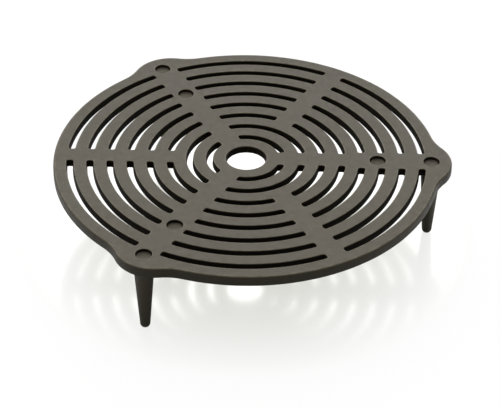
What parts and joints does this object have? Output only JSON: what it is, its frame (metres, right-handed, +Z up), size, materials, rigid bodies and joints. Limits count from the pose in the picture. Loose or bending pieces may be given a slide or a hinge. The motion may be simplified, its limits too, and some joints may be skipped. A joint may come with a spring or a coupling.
{
  "type": "footed grill grate",
  "caption": "Round cast-iron grill grate with rings of slots, lugs on its rim, blind seats for a pot's feet and tapered screw-on feet.",
  "frame": {"origin": "axis of the centre hole, in the plane of the top face", "axes": "+Z up out of the top face, +X from the centre to one of the lugs; the feet stand on the plane z = -0.066 m"},
  "size_m": [0.3, 0.29, 0.066],
  "materials": {
    "plate_iron": "sand-cast grain, seasoned with oil, dull sheen, edges rubbed a little brighter",
    "foot_iron": "sand-cast grain, seasoned with oil, slightly darker than the plate",
    "stud_steel": "plain steel, hidden"
  },
  "bodies": {
    "root": {"grate_plate": "plate_iron", "right_foot": "foot_iron", "back_left_foot": "foot_iron", "front_left_foot": "foot_iron", "right_stud": "stud_steel", "back_left_stud": "stud_steel", "front_left_stud": "stud_steel"}
  },
  "joints": []
}
